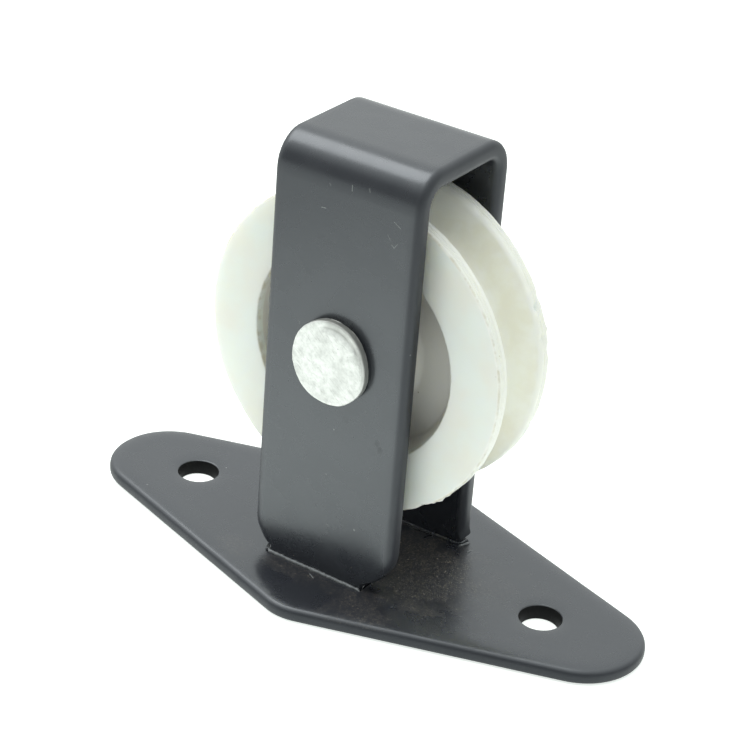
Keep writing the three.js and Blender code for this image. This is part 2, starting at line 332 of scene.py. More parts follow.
class Shader:
    """A material with a Principled shader, and short calls to add and join nodes."""

    def __init__(self, name, **constants):
        self.material = bpy.data.materials.new(name)
        self.material.use_nodes = True
        self.tree = self.material.node_tree
        self.surface = self.tree.nodes["Principled BSDF"]
        for socket, value in constants.items():
            self.surface.inputs[socket.replace("_", " ")].default_value = value

    def node(self, kind, inputs=None, **settings):
        made = self.tree.nodes.new(kind)
        for key, value in settings.items():
            setattr(made, key, value)
        for key, value in (inputs or {}).items():
            self.feed(made.inputs[key], value)
        return made

    def feed(self, socket, value):
        if isinstance(value, bpy.types.NodeSocket):
            self.tree.links.new(value, socket)
        else:
            socket.default_value = value

    def place(self):
        return self.node("ShaderNodeTexCoord").outputs["Object"]

    def noise(self, vector, size, detail=3.0, roughness=0.55):
        """Noise from 0 to 1 with features of the given size in metres."""
        return self.node("ShaderNodeTexNoise", {
            "Vector": vector, "Scale": 1 / size, "Detail": detail, "Roughness": roughness,
        }).outputs["Fac"]

    def remap(self, value, low, high, to_low=0.0, to_high=1.0):
        return self.node("ShaderNodeMapRange", {
            "Value": value, "From Min": low, "From Max": high, "To Min": to_low, "To Max": to_high,
        }, interpolation_type="SMOOTHSTEP").outputs["Result"]

    def math(self, operation, a, b=0.0):
        return self.node("ShaderNodeMath", {0: a, 1: b}, operation=operation).outputs[0]

    def vectors(self, operation, a, b=(0, 0, 0)):
        return self.node("ShaderNodeVectorMath", {0: a, 1: b}, operation=operation)

    def hypot(self, a, b):
        squares = self.math("ADD", self.math("MULTIPLY", a, a), self.math("MULTIPLY", b, b))
        return self.math("SQRT", squares)

    def mix(self, factor, a, b):
        return self.node("ShaderNodeMix", {0: factor, 6: a, 7: b}, data_type="RGBA").outputs[2]

    def dots(self, vector, cell, size, share):
        """Small round specks of the given size: a share of the cells holds one each."""
        cells = self.node("ShaderNodeTexVoronoi", {"Vector": vector, "Scale": 1 / cell})
        near = self.remap(cells.outputs["Distance"], size / cell, size / cell * 0.5)
        chosen = self.node("ShaderNodeSeparateColor", {"Color": cells.outputs["Color"]}).outputs[0]
        return self.math("MULTIPLY", near, self.math("LESS_THAN", chosen, share))

    def stroke(self, vector, start, end, half_width):
        """A soft-ended stroke between two points of the plane: 1 on it, 0 away from it."""
        start, end = Vector((*start, 0)), Vector((*end, 0))
        along = end - start
        off = self.vectors("SUBTRACT", vector, start).outputs[0]
        reach = self.vectors("DOT_PRODUCT", off, along / along.length_squared).outputs["Value"]
        share = self.node("ShaderNodeClamp", {"Value": reach}).outputs[0]
        nearest = self.node("ShaderNodeVectorMath", {0: along, "Scale": share}, operation="SCALE").outputs[0]
        away = self.vectors("DISTANCE", off, nearest).outputs["Value"]
        return self.remap(away, half_width, half_width * 0.4)

    def band(self, value, centre, half_width):
        """1 where the value is at the centre, 0 from half_width away from it."""
        return self.remap(self.math("ABSOLUTE", self.math("SUBTRACT", value, centre)), half_width, 0.0)

    def scaled(self, vector, scale):
        return self.node("ShaderNodeMapping", {"Vector": vector, "Scale": scale}).outputs["Vector"]

    def bump(self, height, distance, strength=1.0, normal=None):
        inputs = {"Height": height, "Distance": distance, "Strength": strength}
        if normal is not None:
            inputs["Normal"] = normal
        return self.node("ShaderNodeBump", inputs).outputs["Normal"]

    def set(self, **sockets):
        for socket, value in sockets.items():
            self.feed(self.surface.inputs[socket.replace("_", " ")], value)


PAINT_DARK = (0.014, 0.0155, 0.0205, 1)
PAINT_LIGHT = (0.0195, 0.021, 0.0265, 1)
PAINT_TINT = (0.91, 0.96, 1.0, 1)
PAINT_SPECK = (0.3, 0.31, 0.3, 1)
PAINT_SCRATCHED = (0.36, 0.38, 0.36, 1)
PAINT_SMUDGED = (0.01, 0.012, 0.01, 1)
# Painted highlight: the pale colour on the paint beads at the feet stands in for the light they catch.
PAINT_HIGHLIGHT = (0.2, 0.21, 0.21, 1)
# Painted shade: the colour of the screw hole walls.
PAINT_HOLE_SHADE = (0.008, 0.008, 0.008, 1)
DUST = (0.19, 0.165, 0.13, 1)

# Marks on the strap's front face: two ends of each as (x, z) in mm, half width and strength.
STRAP_MARKS = [
    (0.9, 66.6, 1.0, 65.8, 0.09, 0.9), (-2.8, 65.8, -2.6, 65.6, 0.1, 0.5), (3.7, 66.9, 3.9, 66.5, 0.12, 0.5),
    (-3.9, 61.85, -3.2, 61.9, 0.09, 0.9), (8.3, 63.4, 9.4, 62.75, 0.07, 0.9),
    (7.4, 61.2, 7.9, 60.5, 0.06, 0.6), (8.2, 59.9, 8.6, 59.5, 0.08, 0.9), (8.6, 59.5, 9.1, 60.3, 0.07, 0.7),
    (0.85, 11.15, 0.95, 11.05, 0.13, 0.7), (5.65, 12.25, 5.7, 12.15, 0.2, 1.0),
    (0.0, 19.7, 0.1, 19.6, 0.1, 0.5), (-6.5, 43.0, -6.4, 42.6, 0.07, 0.5),
]
# Dull places on the same face: centre as (x, z) in mm, radius and strength.
STRAP_SMUDGES = [(2.8, 29.9, 0.7, 0.5), (8.4, 28.0, 0.6, 0.8), (9.0, 27.0, 0.6, 0.8), (-5.5, 50.5, 1.4, 0.3)]
# Dusty places on the plate: centre as (x, y) in mm, half sizes and strength.
DUSTY = [(14, -3, 9, 11, 1.0), (9, 0, 10, 10, 1.0), (-3, -13.5, 8, 2.5, 0.55), (-14, -14, 4, 3, 0.3),
         (10, -16, 7, 5, 0.6), (22, 2, 9, 8, 0.25)]


def painted(name, finish):
    """Satin black paint: faint orange peel, uneven gloss and small specks; finish adds what one piece has."""
    s = Shader(name, IOR=1.8)
    s.surface.inputs["Specular Tint"].default_value = PAINT_TINT
    place = s.place()
    colour = s.mix(s.noise(place, 14 * MM), PAINT_DARK, PAINT_LIGHT)
    specks = s.math("MULTIPLY", s.dots(place, 6 * MM, 0.17 * MM, 0.16), 0.45)
    colour = s.mix(specks, colour, PAINT_SPECK)
    gloss = s.remap(s.noise(place, 5 * MM), 0.3, 0.7, 0.24, 0.3)
    peel = s.bump(s.noise(place, 1.8 * MM, detail=1.0), 0.01 * MM)
    normal = s.bump(s.noise(place, 0.3 * MM, detail=2.0), 0.0025 * MM, normal=peel)
    colour, gloss, normal = finish(s, place, colour, gloss, normal)
    s.set(Base_Color=colour, Roughness=gloss, Normal=normal)
    return s.material


def strap_finish(s, place, colour, gloss, normal):
    """Pale scratches, nibs and dull smudges on the front face, grit towards the feet and duller cut edges."""
    axes = s.node("ShaderNodeSeparateXYZ", {"Vector": place}).outputs
    front = s.math("LESS_THAN", axes[1], -LEG_INNER_Y)
    flat = s.node("ShaderNodeCombineXYZ", {0: axes[0], 1: axes[2]}).outputs[0]
    marks = 0.0
    for x0, z0, x1, z1, width, strength in STRAP_MARKS:
        mark = s.stroke(flat, (x0 * MM, z0 * MM), (x1 * MM, z1 * MM), width * MM)
        marks = s.math("MAXIMUM", marks, s.math("MULTIPLY", mark, strength))
    marks = s.math("MULTIPLY", marks, front)
    dull = 0.0
    for x, z, radius, strength in STRAP_SMUDGES:
        spot = s.stroke(flat, (x * MM, z * MM), (x * MM, (z + 0.3) * MM), radius * MM)
        dull = s.math("MAXIMUM", dull, s.math("MULTIPLY", spot, strength))
    dull = s.math("MULTIPLY", s.math("MULTIPLY", dull, front), s.remap(s.noise(place, 1.5 * MM), 0.3, 0.6))
    low = s.remap(axes[2], 13 * MM, PLATE_TOP)
    grit = s.math("MULTIPLY", s.dots(place, 1.3 * MM, 0.12 * MM, 0.4), s.math("MULTIPLY", low, 0.7))
    colour = s.mix(s.math("MULTIPLY", dull, 0.3), colour, PAINT_SMUDGED)
    colour = s.mix(grit, colour, DUST)
    colour = s.mix(s.math("MULTIPLY", marks, 0.45), colour, PAINT_SCRATCHED)
    to_edge = s.math("SUBTRACT", STRAP_HALF_WIDTH, s.math("ABSOLUTE", axes[0]))
    edge = s.remap(to_edge, 1.5 * MM, 0.3 * MM)
    s.set(Specular_IOR_Level=s.remap(edge, 0.0, 1.0, 0.5, 0.37))
    gloss = s.math("ADD", gloss, s.math("MULTIPLY", s.math("MAXIMUM", dull, edge), 0.2))
    return colour, gloss, s.bump(s.math("ADD", marks, grit), 0.02 * MM, normal=normal)


def plate_finish(s, place, colour, gloss, normal):
    """Fine brownish grit between the legs, to their right and before the front one. The rim and the holes
    are duller than the top, and the hole walls carry painted shade: a near-black colour."""
    axes = s.node("ShaderNodeSeparateXYZ", {"Vector": place}).outputs
    top = s.math("GREATER_THAN", axes[2], PLATE_TOP * 0.7)
    ragged = s.remap(s.noise(place, 3 * MM, detail=3.0), 0.25, 0.75, -0.35, 0.35)
    cover = 0.0
    for x, y, half_x, half_y, strength in DUSTY:
        across = s.math("DIVIDE", s.math("SUBTRACT", axes[0], x * MM), half_x * MM)
        along = s.math("DIVIDE", s.math("SUBTRACT", axes[1], y * MM), half_y * MM)
        reach = s.hypot(across, along)
        patch = s.remap(s.math("ADD", reach, ragged), 1.1, 0.4)
        cover = s.math("MAXIMUM", cover, s.math("MULTIPLY", patch, strength))
    cover = s.math("MULTIPLY", cover, top)
    coarse = s.dots(place, 0.9 * MM, 0.19 * MM, 0.35)
    fine = s.dots(place, 0.36 * MM, 0.13 * MM, 0.9)
    film = s.remap(s.noise(place, 0.5 * MM, detail=5.0, roughness=0.75), 0.42, 0.66)
    grains = s.math("MAXIMUM", s.math("MULTIPLY", coarse, 0.8), s.math("MULTIPLY", fine, 0.42))
    amount = s.math("MULTIPLY", cover, s.math("ADD", grains, s.math("MULTIPLY", film, 0.34)))
    colour = s.mix(amount, colour, DUST)
    rolled = s.remap(axes[2], PLATE_TOP - 0.1 * MM, PLATE_TOP - 0.4 * MM)
    gloss = s.math("ADD", gloss, s.math("MULTIPLY", cover, 0.12))
    gloss = s.math("ADD", gloss, s.math("MULTIPLY", rolled, 0.22))
    aside = s.math("SUBTRACT", s.math("ABSOLUTE", axes[0]), SCREW_HOLE_X)
    from_hole = s.hypot(aside, axes[1])
    in_hole = s.math("MULTIPLY", s.math("LESS_THAN", from_hole, SCREW_HOLE_RADIUS + 0.02 * MM),
                     s.math("LESS_THAN", axes[2], PLATE_TOP - 0.25 * MM))
    on_side = s.remap(axes[2], PLATE_TOP - 0.25 * MM, PLATE_TOP - 0.7 * MM)
    dulled = s.math("MAXIMUM", in_hole, s.math("MULTIPLY", on_side, 0.55))
    s.set(Specular_IOR_Level=s.remap(dulled, 0.0, 1.0, 0.5, 0.08))
    # Painted shade: the hole walls are coloured near black.
    colour = s.mix(in_hole, colour, PAINT_HOLE_SHADE)
    return colour, gloss, s.bump(s.math("MULTIPLY", grains, cover), 0.04 * MM, normal=normal)


def highlighted_bead_finish(s, place, colour, gloss, normal):
    """Thick paint at the joints, with a painted highlight: a paler colour in patches stands in for the light
    the beads catch.
    """
    highlight_share = s.remap(s.noise(place, 0.7 * MM, detail=3.0), 0.35, 0.65, 0.3, 0.75)
    return s.mix(highlight_share, colour, PAINT_HIGHLIGHT), s.math("ADD", gloss, 0.15), normal


NYLON_COOL = (0.8, 0.84, 0.797, 1)
NYLON_WARM = (0.805, 0.81, 0.75, 1)
# Painted light: the groove's lighter colour stands in for light shining through the nylon.
NYLON_GROOVE_LIGHT = (0.895, 0.9, 0.83, 1)
# Painted highlight: the whiter colour of the rim band.
NYLON_RIM_HIGHLIGHT = (0.88, 0.89, 0.82, 1)
# Painted shade: beige patches in the groove.
NYLON_GROOVE_SHADE = (0.76, 0.72, 0.56, 1)
# Painted shade: the darker colour inside the dish.
NYLON_DISH_SHADE = (0.73, 0.71, 0.66, 1)
# Painted shade at the dish's mouth, and a brownish grime line along the rims' outer edges.
NYLON_GRIME_AND_SHADE = (0.5, 0.45, 0.3, 1)
NYLON_DIRT = (0.2, 0.13, 0.06, 1)


def nylon_material():
    """Milky moulded nylon: cloudy tint, a painted highlight on the rims (whiter colour), painted light in the
    groove (lighter colour) with painted shade in beige patches, painted shade in the dish and at its mouth, a
    brownish grime line along the rims' outer edges, dark specks, turning marks and soft gloss."""
    s = Shader("nylon", IOR=1.53, Subsurface_Weight=0.5, Subsurface_Scale=1.0)
    s.surface.inputs["Subsurface Radius"].default_value = (3.2 * MM, 3.1 * MM, 2.4 * MM)
    place = s.place()
    centred = s.vectors("SUBTRACT", place, (0, WHEEL_Y, AXLE_Z)).outputs[0]
    axes = s.node("ShaderNodeSeparateXYZ", {"Vector": centred}).outputs
    flat = s.node("ShaderNodeCombineXYZ", {0: axes[0], 2: axes[2]}).outputs[0]
    radius = s.vectors("LENGTH", flat).outputs["Value"]
    cloud = s.remap(s.noise(place, 8 * MM), 0.35, 0.65)
    colour = s.mix(cloud, NYLON_COOL, NYLON_WARM)
    off_middle = s.math("ABSOLUTE", axes[1])
    in_groove = s.math("MULTIPLY", s.remap(off_middle, 4.9 * MM, 4.0 * MM),
                       s.math("GREATER_THAN", radius, DISH_MOUTH_RADIUS + 1 * MM))
    # Painted light and shade in the groove: a lighter colour with beige patches of painted shade.
    stain_and_shade = s.remap(s.noise(place, 5 * MM, detail=4.0), 0.4, 0.65, 0.0, 0.35)
    groove_light_and_shade = s.mix(stain_and_shade, NYLON_GROOVE_LIGHT, NYLON_GROOVE_SHADE)
    colour = s.mix(s.math("MULTIPLY", in_groove, 0.85), colour, groove_light_and_shade)
    # Painted highlight: the rim band is coloured whiter.
    rim_highlight = s.remap(radius, WHEEL_RADIUS - 0.55 * MM, WHEEL_RADIUS - 0.25 * MM)
    colour = s.mix(s.math("MULTIPLY", rim_highlight, 0.9), colour, NYLON_RIM_HIGHLIGHT)
    # Painted shade: the dish is coloured darker and browner.
    dish_shade = s.math("MULTIPLY", s.math("LESS_THAN", radius, DISH_MOUTH_RADIUS - 0.3 * MM),
                     s.remap(off_middle, WHEEL_HALF_WIDTH - 0.2 * MM, WHEEL_HALF_WIDTH - 1.2 * MM))
    colour = s.mix(s.math("MULTIPLY", dish_shade, 0.8), colour, NYLON_DISH_SHADE)
    # Painted shade at the dish's mouth, and a brownish grime line along the rims' outer edges.
    edges = s.math("MAXIMUM", s.band(radius, DISH_MOUTH_RADIUS, 0.35 * MM),
                   s.math("MULTIPLY", s.band(radius, WHEEL_RADIUS - 0.15 * MM, 0.3 * MM),
                          s.remap(off_middle, WHEEL_HALF_WIDTH - 0.5 * MM, WHEEL_HALF_WIDTH)))
    grime_and_shade = s.math("MULTIPLY", edges, s.remap(s.noise(place, 1.6 * MM, detail=4.0), 0.38, 0.62, 0.0, 0.55))
    colour = s.mix(grime_and_shade, colour, NYLON_GRIME_AND_SHADE)
    fine_specks = s.dots(place, 2.4 * MM, 0.17 * MM, 0.24)
    specks = s.dots(place, 5 * MM, 0.3 * MM, 0.14)
    dirt = s.math("ADD", s.math("MULTIPLY", fine_specks, 0.5), s.math("MULTIPLY", specks, 0.6))
    colour = s.mix(dirt, colour, NYLON_DIRT)
    gloss = s.remap(s.noise(place, 3 * MM), 0.3, 0.7, 0.32, 0.46)
    rings = s.noise(s.node("ShaderNodeCombineXYZ", {0: radius, 1: axes[1]}).outputs[0], 0.35 * MM, detail=1.0)
    turned = s.bump(rings, 0.008 * MM)
    skin = s.bump(s.noise(place, 0.8 * MM, detail=3.0), 0.012 * MM, normal=turned)
    s.set(Base_Color=colour, Roughness=gloss, Normal=skin)
    return s.material


ALUMINIUM_BRIGHT = (0.86, 0.88, 0.85, 1)
ALUMINIUM_MATTE = (0.66, 0.68, 0.65, 1)
ALUMINIUM_WORN = (0.5, 0.52, 0.49, 1)
ALUMINIUM_RUBBED = (0.45, 0.46, 0.44, 1)
ALUMINIUM_PITTED = (0.25, 0.25, 0.25, 1)
ALUMINIUM_SIDE = (0.33, 0.335, 0.315, 1)


def aluminium_material():
    """Matte aluminium as it comes from the rivet press: mottling, dark pits, short rubbed strokes and a
    darker side."""
    s = Shader("rivet_aluminium", Metallic=0.6, IOR=1.5)
    place = s.place()
    patches = s.remap(s.noise(place, 1.1 * MM, detail=7.0, roughness=0.75), 0.35, 0.75)
    colour = s.mix(patches, ALUMINIUM_BRIGHT, ALUMINIUM_MATTE)
    wear = s.remap(s.noise(place, 3.5 * MM, detail=3.0), 0.45, 0.65, 0.0, 0.35)
    colour = s.mix(wear, colour, ALUMINIUM_WORN)
    turned = s.node("ShaderNodeMapping", {"Vector": place, "Rotation": (0, 0.9, 0)}).outputs["Vector"]
    strokes = s.noise(s.scaled(turned, (1, 1, 0.12)), 0.16 * MM, detail=2.0)
    colour = s.mix(s.remap(strokes, 0.55, 0.75, 0.0, 0.5), colour, ALUMINIUM_RUBBED)
    pits = s.dots(place, 1.5 * MM, 0.14 * MM, 0.3)
    colour = s.mix(s.math("MULTIPLY", pits, 0.5), colour, ALUMINIUM_PITTED)
    axes = s.node("ShaderNodeSeparateXYZ", {"Vector": place}).outputs
    side = s.math("MULTIPLY", s.remap(axes[1], RIVET_LOW.y + 0.15 * MM, RIVET_LOW.y + 0.5 * MM, 0.0, 0.8),
                  s.math("LESS_THAN", axes[1], 0.0))
    colour = s.mix(side, colour, ALUMINIUM_SIDE)
    grain = s.bump(s.noise(place, 0.5 * MM, detail=4.0, roughness=0.6), 0.03 * MM)
    dents = s.bump(s.noise(place, 2.5 * MM, detail=2.0), 0.05 * MM, normal=grain)
    s.set(Base_Color=colour, Roughness=s.remap(patches, 0.0, 1.0, 0.5, 0.62), Normal=dents)
    return s.material


STEEL_BRIGHT = (0.5, 0.51, 0.52, 1)
STEEL_STAINED = (0.38, 0.37, 0.35, 1)


def steel_material():
    """Bright turned steel, with fine rings round the axle."""
    s = Shader("bare_steel", Metallic=1.0)
    place = s.place()
    stain_and_shade = s.noise(place, 3 * MM)
    colour = s.mix(stain_and_shade, STEEL_BRIGHT, STEEL_STAINED)
    rings = s.noise(s.scaled(place, (0.2, 6, 0.2)), 0.6 * MM)
    s.set(Base_Color=colour, Roughness=s.remap(stain_and_shade, 0.3, 0.7, 0.28, 0.45), Normal=s.bump(rings, 0.01 * MM))
    return s.material


# ---- Base plate ----

def plate_outline():
    end_x = PLATE_HIGH.x - PLATE_END_RADIUS
    side_y = PLATE_HIGH.y - PLATE_SIDE_RADIUS
    spacing = math.hypot(end_x, side_y)
    seam = math.degrees(math.acos((PLATE_SIDE_RADIUS - PLATE_END_RADIUS) / spacing)
                        - math.atan2(side_y, end_x))
    outline = (arc((end_x, 0), PLATE_END_RADIUS, -seam, seam, 40)
               + arc((0, side_y), PLATE_SIDE_RADIUS, seam, 180 - seam, 16)
               + arc((-end_x, 0), PLATE_END_RADIUS, 180 - seam, 180 + seam, 40)
               + arc((0, -side_y), PLATE_SIDE_RADIUS, 180 + seam, 360 - seam, 16))
    return [(x + PLATE_OFF_CENTRE, y) for x, y in outline]


def tenon_slot(side):
    near, far = side * (LEG_INNER_Y - CLEARANCE), side * (LEG_OUTER_Y + CLEARANCE)
    left, right = TENON_LEFT_X - CLEARANCE, TENON_RIGHT_X + CLEARANCE
    return [(left, near), (right, near), (right, far), (left, far)]


def distance_to(loop, x, y):
    """Shortest distance from a point to the sides of a closed loop."""
    nearest = math.inf
    for (x0, y0), (x1, y1) in zip(loop, loop[1:] + loop[:1]):
        dx, dy = x1 - x0, y1 - y0
        t = min(1.0, max(0.0, ((x - x0) * dx + (y - y0) * dy) / (dx * dx + dy * dy)))
        nearest = min(nearest, math.hypot(x - x0 - t * dx, y - y0 - t * dy))
    return nearest


def shape_plate(bm, outline):
    """Punching rolls the rim over and leaves narrowing screw holes, each with a shallow dimple. The sheet
    isn't quite flat, and its outline isn't quite even."""
    for v in bm.verts:
        x, y, z = v.co
        for centre in (-SCREW_HOLE_X, SCREW_HOLE_X):
            reach = math.hypot(x - centre, y)
            near_hole = 1 - soft_step(SCREW_HOLE_RADIUS, HOLE_TAPER_REACH, reach)
            narrowed = HOLE_TAPER * (1 - z / PLATE_TOP) * near_hole
            if narrowed > 0:
                share = (reach - narrowed) / reach
                x, y = centre + (x - centre) * share, y * share
        hammered = 1 - HAMMERED_SHARE * (1 + bump_field(x, y, 0, HAMMERED_SIZE, 1.5))
        v.co.x, v.co.y = x * hammered, y * hammered
        if z < PLATE_TOP * 0.6:
            continue
        to_hole = min(math.hypot(x - side * SCREW_HOLE_X, y) for side in (-1, 1))
        dimple = DIMPLE_DEPTH * (1 - soft_step(SCREW_HOLE_RADIUS, SCREW_HOLE_RADIUS + DIMPLE_WIDTH, to_hole))
        sag = SHEET_SAG * (1 + bump_field(x, y, 0, SHEET_SAG_SIZE))
        to_rim = distance_to(outline, v.co.x, v.co.y)
        roll = RIM_ROLL_DEPTH * max(0.0, 1 - to_rim / RIM_ROLL_WIDTH) ** 2
        v.co.z = z - dimple - sag - roll


def build_plate(paint):
    holes = [arc((side * SCREW_HOLE_X, 0), SCREW_HOLE_RADIUS, 0, 360, 64)[:-1] for side in (-1, 1)]
    holes += [tenon_slot(side) for side in (-1, 1)]
    outline = without_repeats(plate_outline())
    bm = slab(outline, holes, PLATE_LOW.z, PLATE_TOP, lambda x, y: PLATE_EDGE_RADIUS,
              HOLE_EDGE_RADIUS, PLATE_SPACING)
    shape_plate(bm, outline)
    return add_piece("plate", bm, "bracket_assembly", paint, ["base_plate"])


# ---- Bracket ----

def foot(side_sign, bottom):
    """Outline of one end of the flat blank, from left to right, as (x, height above the tenon's end)."""
    shape = FRONT_FOOT if side_sign < 0 else REAR_FOOT
    base = PLATE_TOP + shape["gap"] - bottom
    right_x = STRAP_HALF_WIDTH - shape["right"]
    left_x = shape["left"] - STRAP_HALF_WIDTH
    right_start = -math.degrees(math.acos(max(0, (TENON_RIGHT_X - right_x) / shape["right"])))
    left_end = 180 + math.degrees(math.acos(max(0, (left_x - TENON_LEFT_X) / shape["left"])))
    left = arc((left_x, base + shape["left"]), shape["left"], 180, left_end, 14)
    right = arc((right_x, base + shape["right"]), shape["right"], right_start, 0, 14)
    left_neck = [(TENON_LEFT_X, left[-1][1]), (TENON_LEFT_X, 0)]
    right_neck = [(TENON_RIGHT_X, 0), (TENON_RIGHT_X, right[0][1])]
    return left + left_neck + right_neck + right


def build_bracket(paint):
    """The flat blank with its holes, then bent round the two bends."""
    bottom = BRACKET_LOW.z
    straight = BRACKET_HIGH.z - BEND_OUTER_RADIUS - bottom
    mid_radius = BEND_OUTER_RADIUS - STRAP_THICKNESS / 2
    bend = math.pi / 2 * mid_radius
    top = 2 * (LEG_OUTER_Y - BEND_OUTER_RADIUS)
    length = 2 * straight + 2 * bend + top
    front = [(u, x) for x, u in foot(-1, bottom)]
    rear = [(length - u, x) for x, u in foot(1, bottom)]
    outline = front + rear[::-1]
    axle_u = AXLE_Z - bottom
    holes = [arc((u, 0), SHANK_RADIUS + CLEARANCE, 0, 360, 48)[:-1] for u in (axle_u, length - axle_u)]
    half = STRAP_THICKNESS / 2
    foot_u = PLATE_TOP + CLEARANCE - bottom

    def edge_radius(u, x):
        """Sharp at the tenons, and well rounded from a little above the plate."""
        share = soft_step(foot_u, foot_u + EDGE_GROWTH, min(u, length - u))
        return TENON_EDGE_RADIUS + (STRAP_EDGE_RADIUS - TENON_EDGE_RADIUS) * share

    bm = slab(outline, holes, -half, half, edge_radius, HOLE_EDGE_RADIUS, STRAP_SPACING)
    middle_y = LEG_OUTER_Y - half
    bend_y = LEG_OUTER_Y - BEND_OUTER_RADIUS
    bend_z = BRACKET_HIGH.z - BEND_OUTER_RADIUS
    for v in bm.verts:
        u, x, w = v.co
        side = -1 if u < length / 2 else 1
        run = min(u, length - u)
        if run <= straight:
            v.co = (x, side * (middle_y + w), bottom + run)
        elif run <= straight + bend:
            turn = (run - straight) / mid_radius
            r = mid_radius + w
            v.co = (x, side * (bend_y + r * math.cos(turn)), bend_z + r * math.sin(turn))
        else:
            v.co = (x, side * (bend_y - (run - straight - bend)), bend_z + mid_radius + w)
    bmesh.ops.recalc_face_normals(bm, faces=bm.faces)
    return add_piece("strap_bracket", bm, "bracket_assembly", paint, ["bracket"])


# ---- Paint built up at the feet ----

# Path points in mm (x, y, height above the plate), with the bead's radius there.
FRONT_BEAD = [
    (-9.5, -11.7, 0.2, 0.34), (-9.1, -11.9, 0.05, 0.34), (-6.0, -11.9, 0.0, 0.3), (-3.0, -11.9, 0.0, 0.33),
    (-1.0, -11.92, 0.02, 0.39), (1.5, -11.9, 0.0, 0.33), (5.0, -11.9, 0.0, 0.29), (7.2, -11.95, 0.0, 0.28),
    (7.8, -12.1, -0.05, 0.22),
]
FRONT_LUMPS = [
    [(-10.3, -11.4, 0.25, 0.2), (-9.9, -11.2, 0.45, 0.36), (-9.6, -11.4, 0.3, 0.3)],
    [(7.9, -11.75, 0.15, 0.22), (8.05, -11.7, 0.7, 0.26), (8.2, -11.6, 0.95, 0.16)],
]
REAR_BEAD = [(-12.0, 8.75, 0.05, 0.24), (-6, 8.7, 0.05, 0.27), (0, 8.7, 0.05, 0.26), (6, 8.7, 0.05, 0.27),
             (11.0, 8.75, 0.1, 0.3), (12.2, 9.3, 0.1, 0.3), (12.3, 11.0, 0.1, 0.25)]
REAR_DROPS = [
    [(12.3, 8.3, 0.0, 0.16), (12.8, 9.2, 0.1, 0.26), (13.2, 10.2, 0.05, 0.2)],
    [(14.2, 7.4, -0.05, 0.1), (14.4, 8.0, 0.0, 0.17), (14.5, 8.8, -0.05, 0.1)],
]
WHISKER = [(-1.0, -12.9, 0.0, 0.07), (-0.2, -13.4, 0.08, 0.1), (0.6, -13.8, 0.0, 0.07)]

# How lumpy the beads are, as shares of their radius, and how far they sway, with the size of each in mm.
LUMP_SHARE, LUMP_SIZE = 0.28, 0.5
RIPPLE_SHARE, RIPPLE_SIZE = 0.15, 0.21
SWAY, SWAY_SIZE = 0.06, 1.1


def bead(points, seed, sides=10, spacing=0.22):
    """A lumpy string of thick paint along a path."""
    path = []
    for (x0, y0, h0, r0), (x1, y1, h1, r1) in zip(points, points[1:]):
        steps = max(1, round(math.dist((x0, y0), (x1, y1)) / spacing))
        for i in range(steps):
            t = i / steps
            path.append([a + (b - a) * t for a, b in zip((x0, y0, h0, r0), (x1, y1, h1, r1))])
    path.append(list(points[-1]))
    bm = bmesh.new()
    rings = []
    count = len(path)
    for i, (x, y, h, r) in enumerate(path):
        before, after = path[max(0, i - 1)], path[min(count - 1, i + 1)]
        forward = Vector((after[0] - before[0], after[1] - before[1], 0)).normalized()
        side = Vector((-forward.y, forward.x, 0))
        end = min(i, count - 1 - i)
        taper = min(1.0, math.sqrt((end + 0.15) / 2.5))
        lump = (1 + LUMP_SHARE * bump_field(x, y, h, LUMP_SIZE, seed)
                + RIPPLE_SHARE * bump_field(x, y, h, RIPPLE_SIZE, seed + 9))
        middle = Vector((x, y, PLATE_TOP / MM + h)) + side * SWAY * bump_field(x, y, h, SWAY_SIZE, seed + 4)
        ring = []
        for k in range(sides):
            a = 2 * math.pi * k / sides
            outward = side * math.cos(a) + Vector((0, 0, math.sin(a)))
            ring.append(bm.verts.new((middle + outward * r * taper * lump) * MM))
        rings.append(ring)
    for a, b in zip(rings, rings[1:]):
        for k in range(sides):
            bm.faces.new((a[k], a[(k + 1) % sides], b[(k + 1) % sides], b[k]))
    bm.faces.new(rings[0])
    bm.faces.new(rings[-1])
    bmesh.ops.recalc_face_normals(bm, faces=bm.faces)
    return bm


def build_beads(pale, plain):
    pieces = [("front_foot_paint", FRONT_BEAD, pale), ("rear_foot_paint", REAR_BEAD, plain),
              ("paint_whisker", WHISKER, pale)]
    pieces += [(f"front_paint_lump_{i}", points, pale) for i, points in enumerate(FRONT_LUMPS)]
    pieces += [(f"rear_paint_drop_{i}", points, pale) for i, points in enumerate(REAR_DROPS)]
    for seed, (name, points, paint) in enumerate(pieces):
        add_piece(name, bead(points, seed + 1.0), "bracket_assembly", paint)


# ---- Wheel ----

